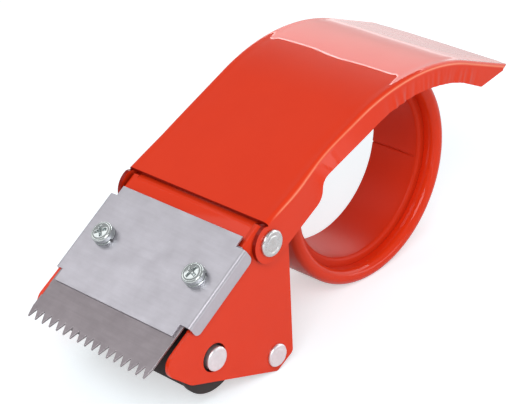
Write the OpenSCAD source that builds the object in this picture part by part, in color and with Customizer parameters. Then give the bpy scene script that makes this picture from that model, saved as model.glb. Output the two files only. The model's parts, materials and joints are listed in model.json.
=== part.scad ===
// Hand-held carton tape dispenser in pressed steel.
// +X runs from the cutting teeth to the tail of the handle, +Z is up, lengths are millimetres.
// The tool stands on the heels of the head frame and on the hoop.

/* [Handle] */
// overall width, outside the two flanges
handle_width = 70; // [60:0.5:85]
// thickness of the handle sheet
handle_sheet = 1.5; // [1:0.1:2]
// outer radius of the fold between top and flange
handle_fold = 1.9; // [1.8:0.1:4]
// radius of the main arch over the tape
arch_radius = 78; // [65:1:94]
// centre of the main arch along the tool
arch_x = 42; // [36:0.5:48]
// slope of the straight tail stretch, degrees
tail_slope = 21.8; // [16:0.2:28]
// reach of the tail along the tool
tail_x = 98.6; // [90:0.1:120]
// plan radius of the tail edge
tail_bow = 245; // [120:5:400]
// radius of the two tail corners
tail_corner = 4; // [1:0.5:8]
// depth of the flange below the top surface along the arch
flange_depth = 8.4; // [6:0.1:12]
// place along the tool where the flange starts to run out
flange_end_x = 78.8; // [70:0.1:86]
// radius of the hinge ear
ear_radius = 7.8; // [7:0.1:9]
// reach of the ear gusset behind the hinge
gusset_reach = 27.2; // [18:0.5:30]
// angle between the lower edge of the gusset and the handle, degrees
gusset_angle = 6.2; // [4:0.5:12]
// reach of the neck where the gusset meets the flange
neck_reach = 30.6; // [27:0.5:38]
// depth of the flange at the neck
neck_depth = 6.6; // [5:0.1:8]
// length of the flange run-out at the tail
runout_length = 7; // [4:0.5:12]
// gap between the handle and the hoop below it
rest_gap = 0.3; // [0.2:0.02:0.6]

/* [Hinge] */
// hinge centre along the tool
pivot_x = -38.2; // [-42:0.1:-34]
// hinge centre above the table
pivot_z = 54.1; // [48:0.1:60]
// height of the handle surface above the hinge centre
hinge_rise = 8.18; // [7.6:0.02:9.4]
// how far the handle edge stops behind the point above the hinge
edge_setback = 2; // [1:0.1:3]
// shank radius of the hinge rivets
pivot_shank = 3; // [2:0.1:3.6]
// head radius of the hinge rivets
pivot_head = 5; // [4:0.1:6]
// head height of the hinge rivets
pivot_head_height = 1.2; // [0.8:0.1:2]
// running clearance in the hinge, sideways and around the shank
hinge_play = 0.1; // [0.04:0.02:0.2]

/* [Head frame] */
// thickness of the head sheet
head_sheet = 1.5; // [1:0.1:2]
// slope of the cutter face
face_slope = 32.7; // [28:0.1:38]
// outer radius of the fold between face and side plate
head_fold = 2.5; // [2:0.1:4]
// length of the closed face, from the foot of the hinge height
face_length = 37.5; // [34:0.5:42]
// reach of the face folds past the foot of the hinge height
fold_end = 2; // [1:0.1:2.4]
// sweep of the curled lip around the hinge, degrees
lip_sweep = 72; // [30:1:80]
// gap between the end of the lip and each side plate
lip_gap = 2.6; // [2.2:0.1:5]
// reach of the side plates down the slope to their sharp nose
nose_reach = 60.2; // [57:0.1:64]
// how far the open front edge lies below the back of the blade
edge_drop = 0.8; // [0:0.1:2]
// rounding of the nose
nose_round = 5; // [2:0.5:7]
// chin corner along the tool
chin_x = -78.3; // [-82:0.1:-74]
// chin corner above the table
chin_z = 14.7; // [10:0.1:18]
// heel corner along the tool
heel_x = -36; // [-42:0.5:-32]
// back edge of the side plates, behind the hinge
back_reach = 10.5; // [9:0.1:14]
// height at which the back edge starts
heel_rise = 4.5; // [2:0.1:8]

/* [Cutter] */
// thickness of the toothed blade
blade_sheet = 0.8; // [0.5:0.1:1.2]
// half of the blade width
blade_half = 31.9; // [30:0.1:34]
// upper end of the blade under the cover
blade_start = 7.5; // [6.5:0.5:16]
// roots of the teeth, down the slope
root_reach = 60.2; // [56:0.1:66]
// depth of the teeth
tooth_depth = 4.1; // [2:0.1:5]
// how much the blade is turned on its screws, degrees
blade_skew = 1.3; // [0:0.1:1.5]
// number of teeth
tooth_count = 17; // [11:1:25]
// plain margin beside the last tooth point
tooth_margin = 1.1; // [0.5:0.1:3]
// thickness of the cover plate
cover_sheet = 0.8; // [0.6:0.1:1.5]
// upper end of the cover
cover_start = 4.7; // [4:0.1:6.5]
// lower end of the cover
cover_end = 47.5; // [44:0.1:52]
// half width of the flat of the cover
cover_half = 30.2; // [28:0.1:31]
// how far the plain part of the cover lies towards the arm side
cover_shift = 0.5; // [0:0.1:1]
// upper end of the bent side tabs
tab_start = 8.9; // [8.7:0.1:12]
// lower end of the bent side tabs
tab_end = 42.6; // [38:0.1:46]
// depth of the side tabs below the cover face
tab_depth = 6.3; // [4:0.1:9]
// corner radius of the side tabs
tab_corner = 2.3; // [0.5:0.1:3]
// gap between a tab and the side plate
tab_gap = 0.3; // [0.1:0.05:0.6]
// place of the screws down the slope
screw_reach = 25; // [20:0.5:30]
// half of the screw spacing
screw_half = 23.2; // [18:0.1:26]
// thread radius of the screws
screw_radius = 2; // [1.5:0.1:2.5]
// head radius of the screws
screw_head = 4.25; // [3:0.05:5]
// head height of the screws
screw_head_height = 2.6; // [1.6:0.1:3]
// thickness of the spring washers
washer_height = 1.2; // [0.8:0.1:1.6]
// width of the nuts across flats
nut_flats = 7; // [6:0.1:8]
// height of the nuts
nut_height = 3.2; // [2:0.1:4]

/* [Rollers] */
// front roller along the tool
roller_x = -66.2; // [-69:0.1:-63]
// front roller above the table
roller_z = 20; // [18.5:0.1:23]
// radius of the rubber tyre
tyre_radius = 13.5; // [10:0.1:13.7]
// radius of the end caps
cap_radius = 14.1; // [13.8:0.1:15]
// thickness of the end caps
cap_width = 1.8; // [1:0.1:3]
// radius of the roller core
core_radius = 8; // [6.5:0.1:10]
// radius of the front axle
axle_radius = 4.6; // [3.5:0.1:5]
// radius of the axle holes in the side plates
axle_hole = 5.4; // [5.2:0.1:6]
// reach of the axle past each side plate
axle_proud = 1.3; // [0.8:0.1:2.5]
// side gap between roller and side plates
roller_play = 0.5; // [0.3:0.1:1]
// rear guide along the tool
guide_x = -36.2; // [-39:0.1:-34]
// rear guide above the table
guide_z = 6.9; // [6.6:0.1:9]
// radius of the rear guide sleeve
guide_radius = 5.5; // [4.2:0.1:5.8]
// radius of the rear pin
pin_radius = 3; // [2:0.1:3.4]
// head radius of the rear pin
pin_head = 4.4; // [3.6:0.1:5]

/* [Hoop] */
// outer diameter of the hoop
hoop_od = 88.5; // [84:0.1:96]
// inner diameter of the hoop sleeve
hoop_id = 69.6; // [60:0.1:74]
// width of the hoop
hoop_width = 29.3; // [24:0.1:40]
// how far the middle of the hoop lies towards the open side
hoop_offset = 0.85; // [0:0.05:3]
// centre of the hoop along the tool
hoop_x = 37; // [34:0.1:40]
// thickness of the hoop sheet
hoop_sheet = 1.2; // [0.8:0.1:1.6]
// radius of the curled rim
rim_curl = 3; // [2:0.1:4]
// how far the sleeve lip stays inside the curled rim
sleeve_recess = 5.8; // [4:0.1:8]
// radius of the flared sleeve lip
sleeve_flare = 2.4; // [1.6:0.1:2.6]

/* [Hoop arm] */
// thickness of the arm
arm_sheet = 1.6; // [1.2:0.1:2.5]
// front edge of the arm on the head
arm_front_x = -49; // [-51:0.5:-47]
// lower edge of the arm on the head
arm_low_z = 15; // [14:0.5:20]
// upper edge of the arm on the head
arm_high_z = 46; // [40:0.5:48]
// half angle of the tongue inside the hoop
tongue_angle = 20; // [14:1:28]
// reach of the tongue past the middle of the hoop
tongue_reach = 4; // [2:0.5:6]
// shank radius of the small rivets
rivet_radius = 1.6; // [1.2:0.1:2]
// head radius of the small rivets
rivet_head = 3; // [2.4:0.1:3.6]
// head height of the small rivets
rivet_head_height = 1; // [0.6:0.1:1.4]
// arm rivets along the tool
arm_rivet_x = -42; // [-45:0.5:-38]
// lower arm rivet above the table
arm_rivet_low = 22; // [20:0.5:26]
// upper arm rivet above the table
arm_rivet_high = 38; // [32:0.5:42]
// spacing of the two rivets in the tongue
hoop_rivet_step = 8; // [7:0.5:9]

/* [Hidden] */

$fn = 96;
over = 1;
fit = 0.04;
arc_steps = 8;
seam_step = 0.02;

paint = [0.86, 0.25, 0.12];
steel = [0.70, 0.69, 0.71];
zinc = [0.84, 0.85, 0.86];
rubber = [0.10, 0.09, 0.09];

// widths, from the outside of the handle inwards
ear_out = handle_width / 2;
ear_in = ear_out - handle_sheet;
side_out = ear_in - 2 * hinge_play;
side_in = side_out - head_sheet;
lip_half = side_in - lip_gap;

// hoop and the arch that rests over it
hoop_r = hoop_od / 2;
sleeve_r = hoop_id / 2;
hoop_z = hoop_r;
hoop = [hoop_x, hoop_z];
arch_under = arch_radius - handle_sheet;
arch_z = hoop_z - sqrt(pow(arch_under - hoop_r - rest_gap, 2) - pow(arch_x - hoop_x, 2));

// the straight front stretch touches the arch and a circle of hinge_rise around the hinge
pivot = [pivot_x, pivot_z];
arch = [arch_x, arch_z];
span = norm(arch - pivot);
handle_slope = asin((arch_radius - hinge_rise) / span) - atan2(pivot_z - arch_z, arch_x - pivot_x);
up_normal = [-sin(handle_slope), cos(handle_slope)];
along = [cos(handle_slope), sin(handle_slope)];
arch_front = arch + arch_radius * up_normal;
handle_edge = pivot + hinge_rise * up_normal + edge_setback * along;
straight_length = norm(arch_front - handle_edge);

// the straight tail stretch leaves the arch at its own slope
tail_normal = [sin(tail_slope), cos(tail_slope)];
tail_down = [cos(tail_slope), -sin(tail_slope)];
arch_rear = arch + arch_radius * tail_normal;
tail_length = (tail_x + 2 - arch_rear[0]) / cos(tail_slope);

// cutter face: its own frame has x up the slope, z out of the face, origin below the handle edge
face_rise = hinge_rise - handle_sheet - 2 * hinge_play;
face_normal = [-sin(face_slope), cos(face_slope)];
face_down = [-cos(face_slope), -sin(face_slope)];
face_foot = pivot + face_rise * face_normal;

tip_reach = root_reach + tooth_depth;
skewed_reach = screw_reach + (tip_reach - screw_reach) * cos(blade_skew)
    + (blade_half - tooth_margin) * sin(blade_skew);
tip_x = (face_foot + skewed_reach * face_down + blade_sheet * face_normal)[0];
x_mid = (tip_x + tail_x) / 2;

cover_top = blade_sheet + cover_sheet;
screw_seat = cover_top + washer_height;

roller_half = side_in - roller_play;
tyre_half = roller_half - cap_width;

arm_rivet_heights = [arm_rivet_low, arm_rivet_high];
arm_out = side_in;
arm_in = arm_out - arm_sheet;
tongue_out = sleeve_r - 2 * fit;
tongue_in = tongue_out - arm_sheet;

function unit(v) = v / norm(v);
function on_face(reach, rise = 0) = face_foot + reach * face_down + rise * face_normal;
function polar(r, a) = [r * cos(a), r * sin(a)];
function bearing(v) = atan2(v[1], v[0]);

// points along an arc about c
function arc_points(c, r, a0, a1, steps) =
    [for (i = [0 : steps]) c + polar(r, a0 + (a1 - a0) * i / steps)];

// points of the arc of radius r that rounds corner b between a and c
function corner_arc(a, b, c, r) =
    r <= 0 ? [b] :
    let (
        ba = unit(a - b),
        bc = unit(c - b),
        half = acos(ba * bc) / 2,
        mid = b + unit(ba + bc) * r / sin(half),
        from = bearing(b + ba * r / tan(half) - mid),
        turn = (bearing(b + bc * r / tan(half) - mid) - from + 540) % 360 - 180
    )
    arc_points(mid, r, from, from + turn, arc_steps);

// ---- drawing helpers -------------------------------------------------------

// moves a piece so that the tool is centred on the origin
module placed() {
    translate([-x_mid, 0, 0]) children();
}

// stands a side view, drawn as x and z, between two places across the tool
module across(y_from, y_to) {
    translate([0, y_to, 0]) rotate([90, 0, 0]) linear_extrude(y_to - y_from) children();
}

// the same side view on both sides of the tool
module both_sides(y_from, y_to) {
    across(y_from, y_to) children();
    across(-y_to, -y_from) children();
}

// puts children in the frame of the cutter face
module on_cutter() {
    translate([face_foot[0], 0, face_foot[1]]) rotate([0, -face_slope, 0]) children();
}

// axis across the tool at a place in the side view
module axis_at(p) {
    translate([p[0], 0, p[1]]) rotate([-90, 0, 0]) children();
}

// outline of points whose corners turn on the given radii
module rounded(points, radii) {
    n = len(points);
    polygon([
        for (i = [0 : n - 1])
            each corner_arc(points[(i + n - 1) % n], points[i], points[(i + 1) % n], radii[i])
    ]);
}

// quarter or other sector of a ring, centred on c, from angle a0 to a1
module ring_sector(c, r_in, r_out, a0, a1) {
    reach = 2 * r_out;
    translate(c) intersection() {
        difference() {
            circle(r_out);
            circle(r_in);
        }
        polygon([[0, 0], polar(reach, a0), polar(reach, (a0 + a1) / 2), polar(reach, a1)]);
    }
}

// section of a folded channel: x is height above or below the outer face, y is across
module channel_section(half, sheet, fold, depth) {
    translate([-sheet, -half + fold]) square([sheet, 2 * (half - fold)]);
    for (s = [0, 1]) mirror([0, s]) {
        ring_sector([-fold, half - fold], fold - sheet, fold, 0, 90);
        translate([-depth, half - sheet]) square([depth - fold, sheet]);
    }
}

// disc with a rounded outer edge, such as a rivet head
module button(r, h, edge) {
    rotate_extrude() {
        square([r - edge, h]);
        square([r, h - edge]);
        intersection() {
            translate([r - edge, h - edge]) circle(edge);
            square([r, h]);
        }
    }
}

// bar with chamfered ends along its own axis, centred
module bar(r, half, chamfer) {
    rotate_extrude()
        polygon([
            [0, -half], [r - chamfer, -half], [r, -half + chamfer],
            [r, half - chamfer], [r - chamfer, half], [0, half]
        ]);
}

// ---- handle ----------------------------------------------------------------

// section of the handle; the straight stretches run a hair thinner into the arch
module handle_section(inset = 0) {
    translate([-inset, 0]) channel_section(
        ear_out - inset, handle_sheet - 2 * inset, handle_fold - inset, flange_depth + handle_fold
    );
}

// folded channel that follows the straight stretch, the arch and the tail
module handle_channel() {
    lap = 1;
    translate([arch_front[0], 0, arch_front[1]]) rotate([0, -handle_slope - 90, 0])
        translate([0, 0, -lap]) linear_extrude(straight_length + lap) handle_section(seam_step);
    translate([arch_x, 0, arch_z]) rotate([90, 0, 0]) rotate([0, 0, 90 - tail_slope])
        rotate_extrude(angle = tail_slope + handle_slope)
            translate([arch_radius, 0]) handle_section();
    translate([arch_rear[0], 0, arch_rear[1]]) rotate([0, tail_slope - 90, 0])
        translate([0, 0, -tail_length]) linear_extrude(tail_length + lap) handle_section(seam_step);
}

// place in the side view, along and square to the straight stretch from the hinge
function from_hinge(s, h) = pivot + s * along + h * up_normal;

// stock of the two ears, below the folds and ahead of the top edge
module ear_stock() {
    front = -2 * ear_radius;
    back = neck_reach + 4;
    low = -3 * ear_radius;
    step = 0.4;
    translate(handle_edge) rotate(handle_slope) polygon([
        [front, low], [back, low], [back, -handle_fold],
        [step, -handle_fold], [step, ear_radius], [front, ear_radius]
    ]);
}

// side view of the handle: hinge ear, gusset, flange along the arch and its run-out at the tail
module handle_outline() {
    inner = arch_radius - flange_depth;
    flange_end = [flange_end_x, arch_z + sqrt(pow(inner, 2) - pow(flange_end_x - arch_x, 2))];
    flange_edge = arc_points(arch, inner, bearing(flange_end - arch), 90 + handle_slope, 16);
    runout = arch_rear + (tail_length - runout_length) * tail_down
        - (handle_sheet + rest_gap) * tail_normal;
    ear = arc_points(
        pivot, ear_radius, handle_slope + gusset_angle - 90, handle_slope - 290, 28
    );
    reach = (gusset_reach - ear_radius * sin(gusset_angle)) / cos(gusset_angle);
    toe = ear[0] + polar(reach, handle_slope + gusset_angle);
    neck = from_hinge(neck_reach, hinge_rise - neck_depth);
    polygon(concat(
        ear,
        [ear[len(ear) - 1] + 30 * up_normal, [tail_x + 20, arch_z + arch_radius + 20]],
        [runout + 40 * tail_down, runout],
        flange_edge,
        corner_arc(flange_edge[len(flange_edge) - 1], neck, toe, 3),
        corner_arc(neck, toe, ear[0], 4.5)
    ));
}

module handle() {
    color(paint) placed() difference() {
        intersection() {
            union() {
                handle_channel();
                both_sides(ear_in, ear_out) ear_stock();
            }
            across(-ear_out - over, ear_out + over) handle_outline();
            linear_extrude(arch_z + arch_radius + 10) tail_plan();
        }
        axis_at(pivot) translate([0, 0, -ear_out - over])
            cylinder(r = pivot_shank + hinge_play, h = handle_width + 2 * over);
    }
}

// plan of what is kept at the tail: a bowed edge between two rounded corners
module tail_plan() {
    half = ear_out + 0.02;
    steps = 8;
    bow = [
        for (i = [0 : steps])
            let (y = half * (2 * i / steps - 1))
            [tail_x - tail_bow + sqrt(pow(tail_bow, 2) - pow(y, 2)), y]
    ];
    points = concat([[pivot_x - 40, half], [pivot_x - 40, -half]], bow);
    corners = [for (i = [0 : len(points) - 1]) i == 2 || i == len(points) - 1 ? tail_corner : 0];
    rounded(points, corners);
}

// one hinge rivet on the +Y side: head outside the ear, tail inside the side plate
module pivot_rivet() {
    head_at = ear_out + hinge_play;
    axis_at(pivot) {
        translate([0, 0, head_at]) button(pivot_head, pivot_head_height, 0.5);
        translate([0, 0, side_in - over]) cylinder(r = pivot_shank, h = head_at - side_in + 2 * over);
        translate([0, 0, side_in]) mirror([0, 0, 1]) button(pivot_head - 1.2, pivot_head_height, 0.4);
    }
}

module near_pivot_rivet() {
    color(zinc) placed() mirror([0, 1, 0]) pivot_rivet();
}

module far_pivot_rivet() {
    color(zinc) placed() pivot_rivet();
}

// ---- head frame ------------------------------------------------------------

// side view of one side plate
module side_outline() {
    back = pivot_x + back_reach;
    rounded([
        on_face(nose_reach, -edge_drop), [chin_x, chin_z], [heel_x, 0], [back, heel_rise],
        [back, pivot_z + 1], on_face(-fold_end), on_face(face_length), on_face(face_length, -edge_drop)
    ], [nose_round, 8, 1.5, 2, 4, 1.5, 0, 0]);
}

// closed face with its two folds
module face_channel() {
    on_cutter() translate([fold_end, 0, 0]) rotate([0, -90, 0])
        linear_extrude(face_length + fold_end)
            channel_section(side_out, head_sheet, head_fold, head_fold + 1);
}

// side plates lie below the folds where the face is closed
module side_plates() {
    both_sides(side_in, side_out) difference() {
        side_outline();
        translate(face_foot) rotate(face_slope) {
            translate([-face_length, -head_fold]) square([face_length + 20, 20]);
            translate([-face_length, -head_fold]) circle(head_fold);
        }
    }
}

// lip curled down around the hinge, between the side plates
module lip() {
    on_cutter() across(-lip_half, lip_half)
        ring_sector([0, -face_rise], face_rise - head_sheet, face_rise, 90 - lip_sweep, 90);
}

module head_frame() {
    hole_lift = axle_hole - axle_radius - hinge_play;
    color(paint) placed() difference() {
        union() {
            side_plates();
            difference() {
                face_channel();
                on_cutter() translate([0, -lip_half, -head_fold])
                    cube([fold_end + over, 2 * lip_half, head_fold + over]);
            }
            lip();
        }
        axis_at(pivot) translate([0, 0, -ear_out])
            cylinder(r = pivot_shank + fit, h = handle_width);
        axis_at([roller_x, roller_z] + hole_lift * [-0.7, 0.7]) translate([0, 0, -ear_out])
            cylinder(r = axle_hole, h = handle_width);
        axis_at([guide_x, guide_z]) translate([0, 0, -ear_out])
            cylinder(r = pin_radius + fit, h = handle_width);
        for (z = arm_rivet_heights) axis_at([arm_rivet_x, z])
            cylinder(r = rivet_radius + fit, h = handle_width);
        at_screws() translate([0, 0, -10]) cylinder(r = screw_radius + 0.15, h = 20);
    }
}

// ---- cutter ----------------------------------------------------------------

module at_screws() {
    for (s = [-1, 1]) on_cutter() translate([-screw_reach, s * screw_half, 0]) children();
}

// plan of the blade: plain sheet with a row of points
module blade_plan() {
    first = blade_half - tooth_margin;
    pitch = 2 * first / (tooth_count - 1);
    points = [
        for (i = [0 : tooth_count - 1]) each [
            if (i > 0) [-root_reach, first - (i - 0.5) * pitch],
            [-tip_reach, first - i * pitch]
        ]
    ];
    polygon(concat(
        [[-blade_start, -blade_half], [-blade_start, blade_half], [-root_reach, blade_half]],
        points,
        [[-root_reach, -blade_half]]
    ));
}

module blade() {
    color(steel) placed() difference() {
        on_cutter() translate([-screw_reach, 0, 0]) rotate(-blade_skew)
            translate([screw_reach, 0, 0]) linear_extrude(blade_sheet) blade_plan();
        at_screws() translate([0, 0, -over]) cylinder(r = screw_radius + 0.3, h = 4);
    }
}

// cover plate: flat with two side tabs bent down past the side plates
module cover_plate() {
    tab_in = side_out + tab_gap;
    tab_out = tab_in + cover_sheet;
    bend = cover_sheet + 0.5;
    tab_length = tab_end - tab_start;
    color(steel) placed() difference() {
        on_cutter() {
            translate([-cover_end, cover_shift - cover_half, blade_sheet])
                cube([cover_end - cover_start, 2 * cover_half, cover_sheet]);
            translate([-tab_end, 0, cover_top]) intersection() {
                rotate([0, 90, 0]) rotate([0, 0, 180])
                    linear_extrude(tab_length)
                        channel_section(tab_out, cover_sheet, bend, tab_depth);
                across(-tab_out - over, tab_out + over)
                    rounded([
                        [0, -tab_depth], [tab_length, -tab_depth], [tab_length, over], [0, over]
                    ], [tab_corner, tab_corner, 0, 0]);
            }
        }
        at_screws() cylinder(r = screw_radius + 0.3, h = 4);
    }
}

// pan head with a cross recess
module screw_head_shape() {
    dome = 5.8;
    difference() {
        intersection() {
            cylinder(r = screw_head, h = screw_head_height);
            translate([0, 0, screw_head_height - dome]) sphere(dome);
        }
        for (a = [0, 90]) rotate(a)
            translate([-2.3, -0.55, screw_head_height - 1.6]) cube([4.6, 1.1, 3]);
    }
}

module cover_screws() {
    length = screw_seat + head_sheet + nut_height + 1;
    color(zinc) placed() at_screws() {
        translate([0, 0, screw_seat]) screw_head_shape();
        translate([0, 0, screw_seat - length]) cylinder(r = screw_radius, h = length + 0.5);
    }
}

// split spring washers under the screw heads
module screw_washers() {
    color(zinc) placed() at_screws() translate([0, 0, cover_top]) difference() {
        cylinder(r = screw_head + 0.15, h = washer_height);
        translate([0, 0, -over]) cylinder(r = screw_radius + 0.2, h = 4);
        rotate(30) translate([0, -0.35, -over]) cube([10, 0.7, 4]);
    }
}

module cover_nuts() {
    color(zinc) placed() at_screws() translate([0, 0, -head_sheet - nut_height]) difference() {
        cylinder(r = nut_flats / 2 / cos(30), h = nut_height, $fn = 6);
        translate([0, 0, -over]) cylinder(r = screw_radius + fit, h = nut_height + 2 * over);
    }
}

// ---- rollers ---------------------------------------------------------------

module at_roller() {
    axis_at([roller_x, roller_z]) children();
}

module front_axle() {
    color(zinc) placed() at_roller() bar(axle_radius, side_out + axle_proud, 0.4);
}

module roller_core() {
    color(rubber) placed() at_roller() difference() {
        cylinder(r = core_radius, h = 2 * tyre_half, center = true);
        cylinder(r = axle_radius + fit, h = handle_width, center = true);
    }
}

module roller_tyre() {
    color(rubber) placed() at_roller() difference() {
        bar(tyre_radius, tyre_half, 0.5);
        cylinder(r = core_radius + fit, h = handle_width, center = true);
    }
}

module roller_end_caps() {
    color(rubber) placed() at_roller() for (s = [0, 1]) mirror([0, 0, s])
        translate([0, 0, tyre_half]) difference() {
            button(cap_radius, cap_width, 0.4);
            translate([0, 0, -over]) cylinder(r = axle_radius + fit, h = 6);
        }
}

// rear pin riveted over outside both side plates
module rear_pin() {
    color(zinc) placed() axis_at([guide_x, guide_z]) {
        cylinder(r = pin_radius, h = 2 * side_out + over, center = true);
        for (s = [0, 1]) mirror([0, 0, s])
            translate([0, 0, side_out]) button(pin_head, 1.1, 0.5);
    }
}

module rear_guide_sleeve() {
    color(steel) placed() axis_at([guide_x, guide_z]) difference() {
        bar(guide_radius, side_in - roller_play, 0.3);
        cylinder(r = pin_radius + hinge_play, h = handle_width, center = true);
    }
}

// ---- hoop ------------------------------------------------------------------

module at_hoop() {
    translate([0, -hoop_offset, 0]) axis_at([hoop_x, hoop_z]) children();
}

// section of the outer ring: curled rim on the open side, web on the arm side
module shell_section() {
    half = hoop_width / 2;
    curl = [hoop_r - rim_curl, half - rim_curl];
    web_in = sleeve_r + hoop_sheet + fit;
    translate([hoop_r - hoop_sheet, -curl[1]]) square([hoop_sheet, 2 * curl[1]]);
    ring_sector([curl[0], -curl[1]], rim_curl - hoop_sheet, rim_curl, 270, 360);
    ring_sector([curl[0], -curl[1]], rim_curl - hoop_sheet, rim_curl, 180, 270);
    translate([curl[0] - rim_curl, -curl[1]])
        square([hoop_sheet, sleeve_recess - rim_curl - fit]);
    ring_sector(curl, rim_curl - hoop_sheet, rim_curl, 0, 90);
    translate([web_in, half - hoop_sheet]) square([curl[0] - web_in, hoop_sheet]);
}

module hoop_shell() {
    color(paint) placed() at_hoop() rotate_extrude($fn = 180) shell_section();
}

// section of the inner sleeve: flared lip and flange behind the curl on the open side
module sleeve_section() {
    half = hoop_width / 2;
    lip_y = -half + sleeve_recess + sleeve_flare;
    flange_r = sleeve_r + sleeve_flare;
    translate([sleeve_r, lip_y]) square([hoop_sheet, half - lip_y]);
    ring_sector([flange_r, lip_y], sleeve_flare - hoop_sheet, sleeve_flare, 180, 270);
    translate([flange_r, lip_y - sleeve_flare])
        square([hoop_r - 2 * rim_curl + 2 - flange_r, hoop_sheet]);
}

module hoop_sleeve() {
    color(paint) placed() difference() {
        at_hoop() rotate_extrude($fn = 180) sleeve_section();
        at_hoop_rivets() translate([0, 0, -10]) cylinder(r = rivet_radius + fit, h = 20);
    }
}

// hoop rivets lie on the front of the sleeve, their axis along the tool
module at_hoop_rivets() {
    for (y = [0, hoop_rivet_step]) translate([hoop_x - tongue_in, y, hoop_z]) rotate([0, -90, 0]) children();
}

// plate of the arm, up to the middle of the tongue's thickness
module arm_outline() {
    back = pivot_x + back_reach - 5;
    low = hoop + polar(tongue_out, 182 + tongue_angle);
    high = hoop + polar(tongue_out, 178 - tongue_angle);
    middle = (tongue_in + tongue_out) / 2;
    front_low = [arm_front_x, arm_low_z];
    front_high = [arm_front_x, arm_high_z - 8];
    polygon(concat(
        corner_arc(front_high, front_low, [back, arm_low_z], 3),
        corner_arc(front_low, [back, arm_low_z], low, 6),
        [low],
        arc_points(hoop, middle, 179 + tongue_angle, 181 - tongue_angle, 8),
        [high],
        corner_arc(high, [back, arm_high_z], front_high, 6),
        corner_arc([back, arm_high_z], front_high, front_low, 3)
    ));
}

// curved tongue that lies inside the sleeve
module tongue_outline() {
    polygon(concat(
        arc_points(hoop, tongue_out, 180 + tongue_angle, 180 - tongue_angle, 16),
        arc_points(hoop, tongue_in, 180 - tongue_angle, 180 + tongue_angle, 16)
    ));
}

module hoop_arm() {
    color(paint) placed() difference() {
        union() {
            across(arm_in, arm_out) arm_outline();
            across(-tongue_reach, arm_out) tongue_outline();
        }
        for (z = arm_rivet_heights) axis_at([arm_rivet_x, z])
            cylinder(r = rivet_radius + fit, h = handle_width);
        at_hoop_rivets() translate([0, 0, -10]) cylinder(r = rivet_radius + fit, h = 20);
    }
}

module arm_rivets() {
    color(zinc) placed() for (z = arm_rivet_heights) axis_at([arm_rivet_x, z]) {
        translate([0, 0, side_out]) button(rivet_head, rivet_head_height, 0.4);
        translate([0, 0, arm_in - 0.5]) cylinder(r = rivet_radius, h = side_out - arm_in + 1);
        translate([0, 0, arm_in]) mirror([0, 0, 1]) button(rivet_head, rivet_head_height, 0.4);
    }
}

module hoop_rivets() {
    stack = arm_sheet + 2 * fit + hoop_sheet;
    curve_rise = pow(rivet_head, 2) / (2 * tongue_in) + fit;
    color(zinc) placed() at_hoop_rivets() {
        translate([0, 0, -curve_rise]) mirror([0, 0, 1]) button(rivet_head, rivet_head_height, 0.4);
        translate([0, 0, -0.5]) cylinder(r = rivet_radius, h = stack + 1);
        translate([0, 0, stack + 0.05]) button(rivet_head - 0.4, rivet_head_height, 0.4);
    }
}

handle();
near_pivot_rivet();
far_pivot_rivet();
head_frame();
cover_plate();
blade();
cover_screws();
screw_washers();
cover_nuts();
front_axle();
roller_tyre();
roller_core();
roller_end_caps();
rear_pin();
rear_guide_sleeve();
hoop_shell();
hoop_sleeve();
hoop_arm();
arm_rivets();
hoop_rivets();
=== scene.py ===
import json
import math
import random

import bmesh
import bpy
from mathutils import Matrix, Vector, noise

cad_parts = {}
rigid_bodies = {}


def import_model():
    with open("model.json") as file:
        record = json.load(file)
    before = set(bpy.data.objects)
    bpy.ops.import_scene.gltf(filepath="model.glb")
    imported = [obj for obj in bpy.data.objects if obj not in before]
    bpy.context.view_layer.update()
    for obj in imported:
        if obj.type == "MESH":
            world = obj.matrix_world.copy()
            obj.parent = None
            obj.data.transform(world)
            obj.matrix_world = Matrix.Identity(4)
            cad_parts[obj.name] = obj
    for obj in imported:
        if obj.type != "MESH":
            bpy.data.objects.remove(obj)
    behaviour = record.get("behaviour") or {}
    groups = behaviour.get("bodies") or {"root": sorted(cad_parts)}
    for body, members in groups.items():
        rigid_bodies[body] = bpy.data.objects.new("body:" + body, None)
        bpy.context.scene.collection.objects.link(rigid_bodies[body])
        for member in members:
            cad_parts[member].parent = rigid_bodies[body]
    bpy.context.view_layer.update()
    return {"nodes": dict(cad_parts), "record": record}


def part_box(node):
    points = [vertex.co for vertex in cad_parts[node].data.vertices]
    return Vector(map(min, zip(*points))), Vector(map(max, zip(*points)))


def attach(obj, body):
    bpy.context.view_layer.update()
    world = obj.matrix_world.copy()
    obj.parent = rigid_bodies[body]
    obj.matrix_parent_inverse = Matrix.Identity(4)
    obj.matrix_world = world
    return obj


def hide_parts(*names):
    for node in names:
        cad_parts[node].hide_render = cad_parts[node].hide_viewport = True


for old in list(bpy.data.objects):
    bpy.data.objects.remove(old)

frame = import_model()
nodes = frame["nodes"]
mm = 0.001
print("frame loaded:", len(nodes), "nodes")


# shader writing

class Wire:
    # one output socket; arithmetic on it adds Math nodes to its tree
    def __init__(self, tree, socket):
        self.tree, self.socket = tree, socket

    def math(self, operation, *others, clamp=False):
        node = self.tree.nodes.new("ShaderNodeMath")
        node.operation, node.use_clamp = operation, clamp
        for slot, value in zip(node.inputs, others):
            plug(self.tree, slot, value)
        return Wire(self.tree, node.outputs[0])

    def __add__(self, other): return self.math("ADD", self, other)
    def __radd__(self, other): return self.math("ADD", other, self)
    def __sub__(self, other): return self.math("SUBTRACT", self, other)
    def __rsub__(self, other): return self.math("SUBTRACT", other, self)
    def __mul__(self, other): return self.math("MULTIPLY", self, other)
    def __rmul__(self, other): return self.math("MULTIPLY", other, self)
    def __truediv__(self, other): return self.math("DIVIDE", self, other)

    def above(self, level, soft):
        # 0 below the level, 1 above it, over a soft step
        return self.math("MULTIPLY_ADD", self, 1 / soft, 0.5 - level / soft, clamp=True)


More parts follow.
